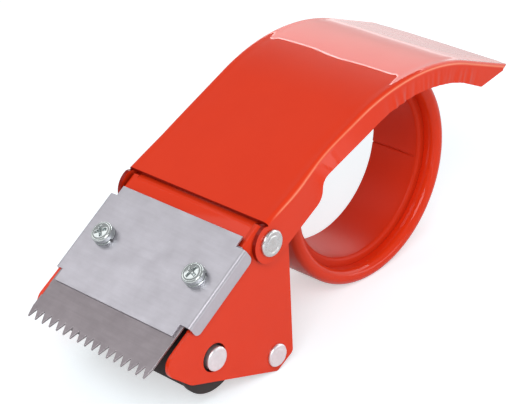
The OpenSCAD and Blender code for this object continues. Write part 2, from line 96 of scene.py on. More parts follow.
def plug(tree, slot, value):
    # links a wire, or sets a plain value
    if isinstance(value, Wire):
        tree.links.new(value.socket, slot)
    elif slot.type == "RGBA" and len(value) == 3:
        slot.default_value = (*value, 1)
    else:
        slot.default_value = value


class Recipe:
    # writes the nodes of one material, or of the world
    def __init__(self, owner):
        owner.use_nodes = True
        self.owner, self.tree, self.spot = owner, owner.node_tree, None
        self.tree.nodes.clear()

    @property
    def place(self):
        if self.spot is None:
            self.spot = self.add("TexCoord", out="Object")
        return self.spot

    def add(self, kind, settings=None, out=0, **sockets):
        # i0, i1, i2 stand for sockets by number, where names repeat
        node = self.tree.nodes.new("ShaderNode" + kind)
        for key, value in (settings or {}).items():
            setattr(node, key, value)
        for key, value in sockets.items():
            slot = int(key[1:]) if key[1:].isdigit() else key.replace("_", " ")
            plug(self.tree, node.inputs[slot], value)
        return Wire(self.tree, node.outputs[out]) if node.outputs else None

    def grain(self, scale, detail=2.0, rough=0.5, place=None):
        # smooth noise; the scale is in features a metre
        place = place or self.place
        return self.add("TexNoise", out="Fac", Vector=place, Scale=scale, Detail=detail, Roughness=rough)

    def stretched(self, x, y, z):
        # object place stretched along one axis, for brushed or rolled grain
        return self.add("VectorMath", {"operation": "MULTIPLY"}, i0=self.place, i1=(x, y, z))

    def mix(self, factor, a, b):
        return self.add("Mix", {"data_type": "RGBA"}, out=2, i0=factor, i6=a, i7=b)

    def edge(self, radius):
        # 0 on flats, rising to 1 on the sheet edges
        soft = self.add("Bevel", {"samples": 6}, Radius=radius)
        flat = self.add("NewGeometry", out="Normal")
        facing = self.add("VectorMath", {"operation": "DOT_PRODUCT"}, out="Value", i0=soft, i1=flat)
        return (1 - facing).above(0.12, 0.2)

    def bump(self, height, strength, distance, under=None):
        sockets = dict(Height=height, Strength=strength, Distance=distance)
        if under:
            sockets["Normal"] = under
        return self.add("Bump", **sockets)

    def finish(self, **sockets):
        self.close(self.add("BsdfPrincipled", **sockets))
        return self.owner

    def close(self, shader, kind="OutputMaterial"):
        self.add(kind, Surface=shader)


# finishes

paintLook = {
    "colour": (0.80, 0.044, 0.008),
    "deep": (0.66, 0.022, 0.004),
    "chipped": (0.30, 0.022, 0.012),
    # colour of the highlight painted along the handle's folds
    "glintColour": (1.0, 0.30, 0.16),
    # colour painted into corners and gaps as shade
    "shade": (0.22, 0.006, 0.002),
    "roughness": 0.42,
    "specular": 0.05,
    "coat": 1.0,
    "coatIndex": 1.3,
    "coatRoughness": 0.035,
    "cloudScale": 38,
    "speckScale": 900,
    "chipScale": 260,
    "peelScale": 520,
    "dentScale": 60,
    "peel": 0.012,
    "dent": 0.03,
    "reach": 4.5 * mm,
    # share of the painted shade in corners and gaps
    "grime": 0.75,
}


def makePaint(name, **changes):
    # stoved enamel: slightly uneven film, orange peel, thinner and darker along the sheet edges; corners and
    # gaps get painted shade and marked folds a painted highlight
    look = {**paintLook, **changes}
    r = Recipe(bpy.data.materials.new(name))
    cloud = r.grain(look["cloudScale"], 3, 0.6)
    speck = r.grain(look["speckScale"], 2, 0.7)
    worn = r.edge(0.5 * mm) * r.grain(look["chipScale"], 3, 0.7).above(0.56, 0.22)
    film = r.mix(cloud.above(0.5, 0.9) * 0.35, look["colour"], look["deep"])
    film = r.mix(speck.above(0.72, 0.12) * 0.10, film, look["deep"])
    film = r.mix(worn * 0.45, film, look["chipped"])
    # painted shade: corners and gaps are darkened by ambient occlusion towards the crease colour
    openness = r.add("AmbientOcclusion", {"samples": 4}, out="AO", Distance=look["reach"])
    film = r.mix((1 - openness).above(0.50, 0.55) * look["grime"], film, look["shade"])
    # painted highlight: the handle's folds are lightened where its mesh marks them
    film = r.mix(r.add("Attribute", {"attribute_name": "foldGlint"}, out="Fac") * 0.8, film, look["glintColour"])
    peel = r.bump(r.grain(look["peelScale"], 2, 0.5), look["peel"], 0.05 * mm)
    dents = r.bump(r.grain(look["dentScale"], 2, 0.5), look["dent"], 1.0 * mm, peel)
    return r.finish(
        Base_Color=film,
        Roughness=look["roughness"] + 0.10 * (cloud - 0.5) + 0.18 * worn,
        Specular_IOR_Level=look["specular"],
        Coat_Weight=look["coat"] * (1 - 0.7 * worn),
        Coat_Roughness=look["coatRoughness"],
        Coat_IOR=look["coatIndex"],
        Normal=dents,
    )


steelLook = {
    "colour": (0.60, 0.585, 0.64),
    "dark": (0.46, 0.44, 0.48),
    "bright": (0.86, 0.85, 0.88),
    "roughness": 0.40,
    "grain": 0.20,
    "blotchScale": 110,
}


def makeSteel(name, along, **changes):
    # cold rolled sheet: fine grain along one direction, dull blotches, edges lightened partly as bare metal
    # and partly as a painted highlight
    look = {**steelLook, **changes}
    r = Recipe(bpy.data.materials.new(name))
    line = r.grain(1.0, 4, 0.6, place=r.stretched(*along))
    blotch = r.grain(look["blotchScale"], 4, 0.65)
    rim = r.edge(0.35 * mm)
    tone = r.mix(blotch.above(0.52, 0.5) * 0.5, look["colour"], look["dark"])
    tone = r.mix(line.above(0.55, 0.4) * 0.25, tone, look["dark"])
    # edges lightened: bare sheared metal, and a painted highlight
    tone = r.mix(rim * 0.8, tone, look["bright"])
    rough = look["roughness"] + 0.16 * (blotch - 0.5) + 0.10 * (line - 0.5) - 0.1 * rim
    normal = r.bump(line, look["grain"], 0.03 * mm, r.bump(blotch, 0.10, 0.2 * mm))
    return r.finish(Base_Color=tone, Metallic=0.85, Roughness=rough, Normal=normal)


zincLook = {
    "colour": (0.68, 0.69, 0.70),
    "stain": (0.44, 0.43, 0.40),
    "bright": (0.85, 0.85, 0.86),
    "roughness": 0.27,
    "cloudScale": 420,
    "fineScale": 2600,
}


def makeZinc(name, **changes):
    # bright zinc plating, duller in patches
    look = {**zincLook, **changes}
    r = Recipe(bpy.data.materials.new(name))
    cloud = r.grain(look["cloudScale"], 3, 0.6)
    fine = r.grain(look["fineScale"], 2, 0.6)
    rim = r.edge(0.3 * mm)
    tone = r.mix(cloud.above(0.55, 0.4) * 0.35, look["colour"], look["stain"])
    tone = r.mix(rim * 0.4, tone, look["bright"])
    rough = look["roughness"] + 0.18 * (cloud - 0.5) + 0.08 * (fine - 0.5)
    normal = r.bump(fine, 0.15, 0.03 * mm, r.bump(cloud, 0.12, 0.08 * mm))
    return r.finish(Base_Color=tone, Metallic=0.9, Roughness=rough, Normal=normal)


blackLook = {
    "dust": (0.055, 0.045, 0.043),
    "rim": (0.07, 0.06, 0.06),
    "grainScale": 1500,
    "dustScale": 90,
}


def makeBlack(name, colour, roughness, depth, look=blackLook):
    # matt black with dust in the grain
    r = Recipe(bpy.data.materials.new(name))
    grain = r.grain(look["grainScale"], 3, 0.6)
    dust = r.grain(look["dustScale"], 3, 0.6)
    tone = r.mix(dust.above(0.60, 0.5) * 0.25, colour, look["dust"])
    tone = r.mix(r.edge(0.4 * mm) * 0.3, tone, look["rim"])
    rough = roughness + 0.12 * (dust - 0.5)
    return r.finish(Base_Color=tone, Roughness=rough, Normal=r.bump(grain, depth, 0.06 * mm))


redPaint = makePaint("redPaint")
# painted shade: a dark copy of the red paint for the handle's sheet rims
rimShadePaint = makePaint("rimShadePaint", colour=(0.30, 0.008, 0.002), deep=(0.16, 0.004, 0.001), coat=0.6)
# the hoop's crevices take a bright saturated red as painted bounce light
hoopPaint = makePaint("hoopPaint", coat=0.9, coatRoughness=0.07, reach=7 * mm, shade=(0.70, 0.010, 0.002))
# painted shade: the sleeve inside the hoop is a darker copy of the red paint, with less painted crease shade
sleeveShadedPaint = makePaint("sleeveShadedPaint", colour=(0.66, 0.034, 0.007), coat=0.42, coatRoughness=0.36, grime=0.3)
coverSteel = makeSteel("coverSteel", (900, 90, 900))
bladeSteel = makeSteel("bladeSteel", (900, 60, 900), colour=(0.335, 0.30, 0.32), dark=(0.24, 0.21, 0.225))
guideSteel = makeSteel("guideSteel", (700, 60, 700))
zincPlate = makeZinc("zincPlate")
screwZinc = makeZinc("screwZinc", colour=(0.62, 0.66, 0.66), stain=(0.20, 0.24, 0.24), roughness=0.12)
pinZinc = makeZinc("pinZinc", colour=(0.90, 0.88, 0.92), stain=(0.62, 0.60, 0.60), roughness=0.42)
tyreRubber = makeBlack("tyreRubber", (0.016, 0.006, 0.006), roughness=0.85, depth=0.18)
blackPlastic = makeBlack("blackPlastic", (0.018, 0.013, 0.013), roughness=0.55, depth=0.15)

finishes = {
    "red_paint": redPaint,
    "cutter_steel": coverSteel,
    "guide_steel": guideSteel,
    "zinc": zincPlate,
    "tyre_rubber": tyreRubber,
    "black_plastic": blackPlastic,
}
special = {"blade": bladeSteel, "hoop_shell": hoopPaint, "hoop_sleeve": sleeveShadedPaint}
slotOf = {row["node"]: row["material_slot"] for row in frame["record"]["subparts"]}
bodyOf = {node: body for body, names in frame["record"]["behaviour"]["bodies"].items() for node in names}
for name, node in nodes.items():
    node.data.materials.clear()
    node.data.materials.append(special.get(name, finishes[slotOf[name]]))
print("finishes made")


# shared ways of making a piece

def stand(name, data):
    # puts a mesh, a lamp or the camera into the scene
    piece = bpy.data.objects.new(name, data)
    bpy.context.scene.collection.objects.link(piece)
    return piece


def bridge(mesh, a, b):
    # faces between two closed rings; a ring of one point closes an end
    count = max(len(a), len(b))
    for k in range(count):
        n = (k + 1) % count
        if len(a) == 1:
            mesh.faces.new((a[0], b[k], b[n]))
        elif len(b) == 1:
            mesh.faces.new((a[k], b[0], a[n]))
        else:
            mesh.faces.new((a[k], b[k], b[n], a[n]))


def meshPiece(mesh, name, sharp):
    # a finished mesh as an object, shaded smooth up to the sharp angle in degrees
    data = bpy.data.meshes.new(name)
    mesh.to_mesh(data)
    mesh.free()
    data.shade_smooth()
    if sharp:
        data.set_sharp_from_angle(angle=math.radians(sharp))
    return stand(name, data)


def roundEdges(piece, width, angle):
    bevel = piece.modifiers.new("edge", "BEVEL")
    bevel.width, bevel.segments = width * mm, 2
    bevel.limit_method, bevel.angle_limit = "ANGLE", math.radians(angle)
    bevel.harden_normals = True


def adopt(piece, node, finish):
    # the piece takes the place of a node of the frame
    piece.data.materials.clear()
    piece.data.materials.append(finish)
    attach(piece, bodyOf[node])
    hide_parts(node)
    return piece


# sheets made from the frame's own, with rounded edges

edgeWidths = {
    "head_frame": 0.30,
    "cover_plate": 0.16,
    "hoop_arm": 0.30,
    "cover_nuts": 0.20,
}


def soften(node, width):
    mesh = bmesh.new()
    mesh.from_mesh(nodes[node].data)
    bmesh.ops.remove_doubles(mesh, verts=mesh.verts, dist=0.002 * mm)
    bmesh.ops.dissolve_limit(mesh, angle_limit=math.radians(0.4), verts=mesh.verts, edges=mesh.edges)
    piece = meshPiece(mesh, node + "_soft", 32)
    roundEdges(piece, width, 32)
    return adopt(piece, node, finishes[slotOf[node]])


for node, width in edgeWidths.items():
    soften(node, width)

cutterLook = {
    "slope": 32.7,
    "foot": 6.48,
    "sheet": 0.8,
    "screwReach": 25.0,
    "skew": 1.3,
    "start": 7.5,
    "root": 60.2,
    "tip": 64.3,
    "near": -31.45,
    "far": 31.6,
    "margin": 1.1,
    "teeth": 17,
    "wander": 0.18,
    "rootWear": (-0.25, 0.30),
    "rootFlat": 0.16,
    "tipWear": 0.25,
    "tipFlat": 0.10,
    "edge": 0.14,
}
tilt = math.radians(cutterLook["slope"])
slopeDown = Vector((-math.cos(tilt), 0, -math.sin(tilt)))
faceUp = Vector((-math.sin(tilt), 0, math.cos(tilt)))
faceAcross = Vector((0, 1, 0))
slopeUp = -slopeDown
hinge = next(joint for joint in frame["record"]["behaviour"]["joints"] if joint["name"] == "handle_hinge")
pivot = Vector((hinge["pos_m"][0] / mm, hinge["pos_m"][2] / mm))
faceFoot = Vector((pivot.x, 0, pivot.y)) + cutterLook["foot"] * faceUp

plateEdgeLook = {
    "from": 37.0,
    "over": 3.0,
    "low": -14.0,
    "fade": 10.0,
    "side": 30.0,
    "farLift": 1.7,
    "nearDrop": 0.3,
}


def liftEdge(piece, look):
    # the front edges of the two side plates don't quite line up with the blade
    for vertex in piece.data.vertices:
        spot = vertex.co / mm - faceFoot
        down, rise = spot.dot(slopeDown) - look["from"], spot.dot(faceUp) - look["low"]
        if down > 0 and rise > 0 and abs(spot.y) > look["side"]:
            share = min(1.0, down / look["over"]) * min(1.0, rise / look["fade"])
            shift = look["farLift"] if spot.y > 0 else -look["nearDrop"]
            vertex.co += faceUp * shift * share * mm


liftEdge(bpy.data.objects["head_frame_soft"], plateEdgeLook)


def buildBlade(look):
    # thin toothed strip, a little askew on its screws; the teeth are struck unevenly
    dice = random.Random(5)
    half = (look["far"] - look["near"]) / 2
    middle = (look["far"] + look["near"]) / 2
    first = half - look["margin"]
    pitch = 2 * first / (look["teeth"] - 1)
    line = [(look["start"], half), (look["root"] - 0.5, half), (look["root"], half - 0.02)]
    for k in range(look["teeth"]):
        if k:
            gap = first - (k - 0.5) * pitch
            spread = dice.uniform(-look["wander"], look["wander"])
            line.append((look["root"] + dice.uniform(*look["rootWear"]), gap + look["rootFlat"] + spread))
            line.append((look["root"] + dice.uniform(*look["rootWear"]), gap - look["rootFlat"] + spread))
        tip = look["tip"] + dice.uniform(-look["tipWear"], 0.0)
        line.append((tip, first - k * pitch + look["tipFlat"]))
        line.append((tip, first - k * pitch - look["tipFlat"]))
    line += [(look["root"], -half + 0.02), (look["root"] - 0.5, -half), (look["start"], -half)]
    turn = math.radians(look["skew"])

    def spot(down, side, rise):
        along = down - look["screwReach"]
        down = look["screwReach"] + along * math.cos(turn) - side * math.sin(turn)
        across = middle + side * math.cos(turn) + along * math.sin(turn)
        return (faceFoot + slopeDown * down + faceUp * rise + Vector((0, across, 0))) * mm

    mesh = bmesh.new()
    low = [mesh.verts.new(spot(down, across, 0.01)) for down, across in line]
    high = [mesh.verts.new(spot(down, across, look["sheet"])) for down, across in line]
    mesh.faces.new(high)
    mesh.faces.new(list(reversed(low)))
    bridge(mesh, low, high)
    bmesh.ops.recalc_face_normals(mesh, faces=mesh.faces)
    piece = meshPiece(mesh, "blade_struck", 30)
    roundEdges(piece, look["edge"], 50)
    return piece


adopt(buildBlade(cutterLook), "blade", bladeSteel)
print("sheets softened")


# handle: pressed channel with folded ears and a puckered flange

handleLook = {
    "half": 35.0,
    "sheet": 1.5,
    "rise": 8.18,
    "setback": 2.0,
    "slope": 23.36,
    "archCentre": (41.111, 12.694),
    "archRadius": 78.0,
    "tailSlope": 21.8,
    "tailReach": 97.711,
    "tailBow": 245.0,
    "tailCorner": 4.0,
    "ear": 7.8,
    "fold": ((0, 1.6), (8, 1.7), (18, 2.0), (28, 1.8), (150, 1.7)),
    "inset": ((0, 0), (19, 0), (31, 2.5), (38, 2.4), (50, 1.6), (61, 1.0), (72, 0.4), (82, 0)),
    "gully": 0.16,
    "dent": 0.14,
    "pucker": 0.32,
    "wrinkled": (69.0, 124.0),
    "toe": ((-1.16, 15.93), (25.2, 13.07), (28.6, 6.6)),
    "toeRadii": (6.6, 5.4),
    "flange": 8.4,
    "runOut": ((12.2, 9.48), (24.9, 1.8)),
    "edge": 0.35,
    "margins": (0, 0.7, 1.5, 2.5, 3.8, 5.6),
    "folds": 8,
    "flanges": 9,
    "middles": 9,
}


def between(stops, s):
    # value at s on the line through (place, value) stops
    for (s0, v0), (s1, v1) in zip(stops, stops[1:]):
        if s <= s1:
            return v0 + (v1 - v0) * max(0.0, (s - s0) / (s1 - s0))
    return stops[-1][1]


def eased(stops, s, width=3.0):
    # the same line with its corners softened
    spots = [s + width * (k / 4 - 1) for k in range(9)]
    return sum(between(stops, spot) for spot in spots) / 9


def roundedLine(corners, radii):
    # polyline with each inner corner replaced by an arc
    line = [Vector(corners[0])]
    for before, corner, after, radius in zip(corners, corners[1:], corners[2:], radii):
        corner = Vector(corner)
        towards = (Vector(before) - corner).normalized()
        away = (Vector(after) - corner).normalized()
        half = math.acos(max(-1.0, min(1.0, towards.dot(away)))) / 2
        start, end = corner + towards * radius / math.tan(half), corner + away * radius / math.tan(half)
        for k in range(9):
            t = k / 8
            line.append(start * (1 - t) ** 2 + corner * 2 * t * (1 - t) + end * t * t)
    line.append(Vector(corners[-1]))
    return line


class HandleForm:
    # side line of the handle: s runs back from its front edge, depth is measured below the top
    def __init__(self, look):
        self.look = look
        slope = math.radians(look["slope"])
        self.slope, self.tailSlope = slope, math.radians(look["tailSlope"])
        self.along = Vector((math.cos(slope), math.sin(slope)))
        self.up = Vector((-math.sin(slope), math.cos(slope)))
        self.edge = pivot + look["rise"] * self.up + look["setback"] * self.along
        self.centre = Vector(look["archCentre"])
        self.straight = (self.centre + look["archRadius"] * self.up - self.edge).dot(self.along)
        self.archEnd = self.straight + look["archRadius"] * (slope + self.tailSlope)
        self.tailUp = Vector((math.sin(self.tailSlope), math.cos(self.tailSlope)))
        self.tailAlong = Vector((math.cos(self.tailSlope), -math.sin(self.tailSlope)))
        self.rear = self.centre + look["archRadius"] * self.tailUp
        self.tailLength = (look["tailReach"] - self.rear.x) / math.cos(self.tailSlope)
        self.length = self.archEnd + self.tailLength
        # underside of the flange: gusset, neck, even flange, then it runs out into the plate
        lower = roundedLine((*look["toe"], (self.straight, look["flange"])), look["toeRadii"])
        self.lower = [(spot.x, spot.y) for spot in lower] + [(self.archEnd, look["flange"])]
        self.lower += [(self.archEnd + s, depth) for s, depth in look["runOut"]]
        self.lower += [(self.length + 5, look["runOut"][-1][1])]
        self.earSpot = Vector((-look["setback"], look["rise"]))

    def place(self, s, depth):
        if s <= self.straight:
            return self.edge + s * self.along - depth * self.up
        if s <= self.archEnd:
            angle = self.slope - (s - self.straight) / self.look["archRadius"]
            out = Vector((-math.sin(angle), math.cos(angle)))
            return self.centre + (self.look["archRadius"] - depth) * out
        return self.rear + (s - self.archEnd) * self.tailAlong - depth * self.tailUp

    def ear(self, s, sign):
        # upper or lower half of the round ear
        return self.earSpot.y + sign * math.sqrt(max(0.0, self.look["ear"] ** 2 - (s - self.earSpot.x) ** 2))

    def bottom(self, s):
        return self.ear(s, 1) if s < self.look["toe"][0][0] else between(self.lower, s)

    def reach(self, across):
        # place along s where the bowed tail edge with its rounded corners lies
        across, look = abs(across), self.look
        bow = look["tailBow"]
        inner = look["half"] + 0.02 - look["tailCorner"]
        x = look["tailReach"] - bow + math.sqrt(bow ** 2 - min(across, inner) ** 2)
        if across > inner:
            over = min(across - inner, look["tailCorner"])
            x += math.sqrt(look["tailCorner"] ** 2 - over ** 2) - look["tailCorner"]
        return self.archEnd + (x - self.rear.x) / math.cos(self.tailSlope)


def handleStations(form):
    # places along the handle for the columns of the mesh, closer where its outline turns
    turns = [math.radians(5 + 99.8 * k / 12) for k in range(12)]
    spots = [form.earSpot.x - form.look["ear"] * math.cos(turn) for turn in turns]
    front = len(spots)
    s = 0.0
    while s < form.archEnd:
        spots.append(s)
        s += 0.35 if 20 < s < 32 else 0.5 if s > 66 else 1.2
    tail = len(spots)
    spots += [form.archEnd + form.tailLength * k / 40 for k in range(41)]
    return spots, front, tail


def makePuckers(look, side):
    # press wrinkles of the flange where the arch shortens it
    dice = random.Random(11 if side < 0 else 23)
    ridges = []
    s, end = look["wrinkled"]
    while s < end:
        size = look["pucker"] * dice.uniform(0.35, 1.5) * dice.choice((1, 1, -0.7))
        ridges.append((s, size, dice.uniform(0.75, 1.35), dice.uniform(-0.12, 0.12)))
        s += dice.uniform(2.6, 4.6)
    return ridges


def buildHandle(look):
    form = HandleForm(look)
    spots, front, tail = handleStations(form)
    puckers = {-1: makePuckers(look, -1), 1: makePuckers(look, 1)}
    folds, flanges, middles = look["folds"], look["flanges"], look["middles"]
    mesh = bmesh.new()
    # mesh layer marking where a highlight is painted along the folds
    film = mesh.verts.layers.float.new("foldGlint")
    columns = []

    def fold(s, side):
        # corner line, bend radius, lean and turn of the flange, and where the bend starts
        radius = eased(look["fold"], s, 2.0)
        inset = eased(look["inset"], s, 8.0) if side < 0 else 0.0
        deep = form.bottom(max(s, 0.0))
        lean = math.atan2(inset, max(deep, 6.0))
        turn = math.pi / 2 - lean
        return look["half"] - inset, radius, lean, turn, radius * math.tan(turn / 2)

    def point(s, depth, out, glint=0.0):
        spot = form.place(s, depth)
        vertex = mesh.verts.new((spot.x * mm, out * mm, spot.y * mm))
        vertex[film] = glint
        return vertex

    def sAt(index, across):
        # the last columns spread out towards the bowed edge of the tail
        s = spots[index]
        if index < tail:
            return s
        share = (s - form.archEnd) / form.tailLength
        return form.archEnd + share * (form.reach(across) - form.archEnd)

    for index in range(len(spots)):
        column = []
        for side in (-1, 1):
            strip = []
            corner, radius, lean, turn, tangent = fold(spots[index], side)
            if index >= front:
                for margin in reversed(look["margins"]):
                    out = corner - tangent - margin
                    s = sAt(index, out)
                    gully = look["gully"] * math.exp(-((margin - 2.0) / 1.5) ** 2) * min(1.0, s / 10)
                    strip.append((s, gully * (1 if side < 0 else 0.6), side * out))
                for k in range(1, folds):
                    angle = turn * k / folds
                    out = corner - tangent + radius * math.sin(angle)
                    # painted highlight along the lower part of each fold, fading in from the front edge
                    glint = math.exp(-((k / folds - 0.74) / 0.13) ** 2) * min(1.0, max(0.0, s - 2) / 6)
                    strip.append((sAt(index, out), radius * (1 - math.cos(angle)), side * out, glint))
            for k in range(flanges + 1):
                s = sAt(index, corner)
                low = form.bottom(s)
                if index >= front:
                    high = tangent * math.cos(lean)
                    share = k / flanges
                    depth = high + (max(low, high + 0.12) - high) * share
                    out = corner + math.tan(lean) * depth
                    ripple = sum(
                        size * math.exp(-((s - at + slant * depth) / width) ** 2)
                        for at, size, width, slant in puckers[side]
                    )
                    out += ripple * min(1.0, share * 1.6)
                else:
                    high = form.ear(s, -1)
                    if s > -1.6:
                        high += (fold(0.0, side)[4] - high) * min(1.0, (s + 1.6) / 1.6)
                    depth = high + (low - high) * k / flanges
                    out = look["half"]
                strip.append((s, depth, side * min(out, look["half"] + 0.3)))
            column.append(strip)
        if index >= front:
            left, right = column[0][0], column[1][0]
            middle = []
            for k in range(1, middles):
                share = k / middles
                across = left[2] + (right[2] - left[2]) * share
                middle.append((sAt(index, across), 0.0, across))
            row = list(reversed(column[0])) + middle + column[1]
        else:
            row = [list(reversed(column[0])), column[1]]
        columns.append(row)

    def dented(s, depth, out, glint=0.0):
        # the top is never quite flat
        if depth < 1.0 and s > 0:
            ease = min(1.0, s / 8) * min(1.0, max(0.0, (33.5 - abs(out)) / 5))
            broad = noise.noise(Vector((s * 0.045, out * 0.055, 3.1)))
            small = noise.noise(Vector((s * 0.12, out * 0.15, 7.7)))
            depth += ease * look["dent"] * (0.5 + broad + 0.4 * small)
        return point(s, depth, out, glint)

    made = []
    for index, row in enumerate(columns):
        if index >= front:
            made.append([dented(*spot) for spot in row])
        else:
            made.append([[point(*spot) for spot in strip] for strip in row])
    count = flanges + 1
    for index in range(len(made) - 1):
        a, b = made[index], made[index + 1]
        if index + 1 < front:
            pairs = list(zip(a, b))
        elif index < front:
            pairs = [(a[0], b[:count]), (a[1], b[-count:])]
        else:
            pairs = [(a, b)]
        for first, second in pairs:
            for k in range(len(first) - 1):
                mesh.faces.new((first[k], second[k], second[k + 1], first[k + 1]))
    bmesh.ops.recalc_face_normals(mesh, faces=mesh.faces)
    top = max(mesh.faces, key=lambda face: face.calc_center_median().z)
    if top.normal.z < 0:
        bmesh.ops.reverse_faces(mesh, faces=mesh.faces)
    piece = meshPiece(mesh, "handle_pressing", None)
    shell = piece.modifiers.new("sheet", "SOLIDIFY")
    shell.thickness, shell.offset, shell.use_even_offset = look["sheet"] * mm, -1, False
    # the sheet rims take the second material, a dark paint standing for shade
    shell.material_offset_rim = 1
    roundEdges(piece, look["edge"], 50)
    return piece


# the handle's second material paints shade on its sheet rims
adopt(buildHandle(handleLook), "handle", redPaint).data.materials.append(rimShadePaint)
print("handle pressed")


# inner pressing of the hoop

sleeveLook = {
    "centre": (36.111, -0.85, 44.25),
    "inner": 34.8,
    "sheet": 1.2,
    "back": 14.65,
    "lip": -7.45,
    "flare": 1.4,
    "rim": 40.25,
    "seam": 348.0,
    "seamDepth": 0.55,
    "seamWidth": 0.28,
    "waves": 0.06,
    "steps": 200,
}


def buildSleeve(look):
    # rolled strip with a flared lip; its ends meet in a butt seam
    inner, sheet, flare, lip, back = (look[key] for key in ("inner", "sheet", "flare", "lip", "back"))
    outer, bend, front = inner + sheet, inner + flare, lip - flare

    def arc(radius, start, end, count):
        turns = [math.radians(start + (end - start) * k / 8) for k in range(9 - count, 9)]
        return [(bend + radius * math.cos(turn), lip + radius * math.sin(turn)) for turn in turns]

    section = [(inner, back - 0.3)] + [(inner, back * (1 - k / 6) + lip * k / 6) for k in range(1, 6)]
    section += [(inner, lip)] + arc(flare, 180, 270, 8)
    section += [(look["rim"], front), (look["rim"], front + sheet)]
    section += arc(flare - sheet, 270, 180, 9) + [(outer, back), (inner + 0.3, back)]
    seam = math.radians(look["seam"])
    angles = [2 * math.pi * k / look["steps"] for k in range(look["steps"])]
    angles += [seam + math.radians(0.12 * k) for k in range(-9, 10)]
    angles = sorted(angle % (2 * math.pi) for angle in angles)

    def dip(angle, along):
        # the groove of the seam, the swell beside it and the waves of the strip
        gap = (angle - seam) * inner - 0.25 * noise.noise(Vector((along * 0.5, 4, 1)))
        wave = noise.noise(Vector((math.cos(angle) * 3, math.sin(angle) * 3, along * 0.08)))
        groove = look["seamDepth"] * math.exp(-(gap / look["seamWidth"]) ** 2)
        return groove - 0.10 * math.exp(-((gap - 0.9) / 0.7) ** 2) + look["waves"] * wave

    mesh = bmesh.new()
    rings = []
    for angle in angles:
        ring = []
        for radius, along in section:
            if radius < outer - 0.2 and along > lip:
                radius += dip(angle, along)
            spot = Vector((math.cos(angle), 0, math.sin(angle))) * radius
            ring.append(mesh.verts.new((Vector(look["centre"]) + spot + Vector((0, along, 0))) * mm))
        rings.append(ring)
    for a, b in zip(rings, rings[1:] + rings[:1]):
        bridge(mesh, a, b)
    bmesh.ops.recalc_face_normals(mesh, faces=mesh.faces)
    return meshPiece(mesh, "hoop_sleeve_rolled", 40)


adopt(buildSleeve(sleeveLook), "hoop_sleeve", sleeveShadedPaint)
print("hoop sleeve rolled")


# turned pieces: rivets and pins

def turned(name, profile, centre, axis, segments=72, wobble=0.0, seed=0.0):
    # profile is (radius, place along the axis) in millimetres and runs from axis to axis
    axis = Vector(axis).normalized()
    side = axis.orthogonal().normalized()
    other = axis.cross(side)
    mesh = bmesh.new()
    rings = []
    for radius, along in profile:
        if radius < 1e-6:
            rings.append([mesh.verts.new((Vector(centre) + axis * along) * mm)])
            continue
        ring = []
        for k in range(segments):
            angle = 2 * math.pi * k / segments
            spot = Vector(centre) + radius * (math.cos(angle) * side + math.sin(angle) * other)
            lift = wobble * noise.noise(spot * 0.9 + Vector((seed, seed, seed))) if wobble else 0.0
            ring.append(mesh.verts.new((spot + axis * (along + lift)) * mm))
        rings.append(ring)
    for a, b in zip(rings, rings[1:]):
        bridge(mesh, a, b)
    bmesh.ops.recalc_face_normals(mesh, faces=mesh.faces)
    return meshPiece(mesh, name, 40)


rivetLook = {
    "headHeight": 1.2,
    "headRadius": 5.0,
    "shank": 2.96,
    "tail": 3.8,
    "tailFoot": 1.2,
    "ring": 0.20,
    "dish": -0.08,
    "sunk": 0.09,
    "wobble": 0.10,
}


def headProfile(radius, base, height, ring, cone=0.0):
    # outer face of a rivet or pin: soft edge, faint ring left by the punch, middle raised by cone
    turn = min(0.75, height * 0.62)
    points = [(0.0, base + height + cone)]
    for share in (0.25, 0.45, 0.56):
        points.append((radius * share, base + height + cone * (1 - share)))
    points += [(radius * 0.61, base + height - ring), (radius * 0.66, base + height - ring * 0.6)]
    points.append((radius * 0.71, base + height))
    for k in range(7):
        angle = math.radians(90 - 15 * k)
        points.append((radius - turn + turn * math.cos(angle), base + height - turn + turn * math.sin(angle)))
    points.append((radius * 0.985, base + 0.05))
    return points


def makeHingeRivets(look):
    centre = (pivot.x, 0, pivot.y)
    for side, node in ((-1, "near_pivot_rivet"), (1, "far_pivot_rivet")):
        low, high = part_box(node)
        outer = max(abs(low[1]), abs(high[1])) / mm
        inner = min(abs(low[1]), abs(high[1])) / mm
        base, foot = outer - look["headHeight"] - look["sunk"], inner + look["tailFoot"]
        profile = headProfile(look["headRadius"], base, look["headHeight"], look["ring"], look["dish"])
        profile += [(look["shank"], base + 0.02), (look["shank"], foot + 0.05), (look["tail"], foot)]
        profile += [(look["tail"], inner + 0.35), (look["tail"] - 0.35, inner), (0.0, inner)]
        piece = turned(node + "_set", profile, centre, (0, side, 0), wobble=look["wobble"], seed=side)
        adopt(piece, node, zincPlate)


makeHingeRivets(rivetLook)


def mirrored(profile):
    # the other half of a pin, so that it runs right through
    return profile + [(radius, -along) for radius, along in reversed(profile)]


pinLook = {
    "front_axle": {"head": 1.2, "wobble": 0.10, "seed": 4.0, "neck": None},
    "rear_pin": {"head": 1.1, "wobble": 0.12, "seed": 9.0, "neck": 3.0},
}


def makePin(node, look):
    low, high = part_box(node)
    reach, radius = high[1] / mm, (high[2] - low[2]) / 2 / mm
    centre = ((low[0] + high[0]) / 2 / mm, 0, (low[2] + high[2]) / 2 / mm)
    face = headProfile(radius, reach - look["head"], look["head"], 0.06)
    if look["neck"]:
        face.append((look["neck"], reach - look["head"] + 0.02))
    wobble, seed = look["wobble"], look["seed"]
    piece = turned(node + "_turned", mirrored(face), centre, (0, -1, 0), wobble=wobble, seed=seed)
    adopt(piece, node, pinZinc)


for node, look in pinLook.items():
    makePin(node, look)
print("rivets and pins turned")


# cross recess screws with split washers

screwLook = {
    "radius": 4.25,
    "height": 2.6,
    "arm": 0.62,
    "reach": 2.5,
    "depth": 1.5,
    "crown": 0.42,
    "shank": 2.0,
    "turns": (18, 52),
}


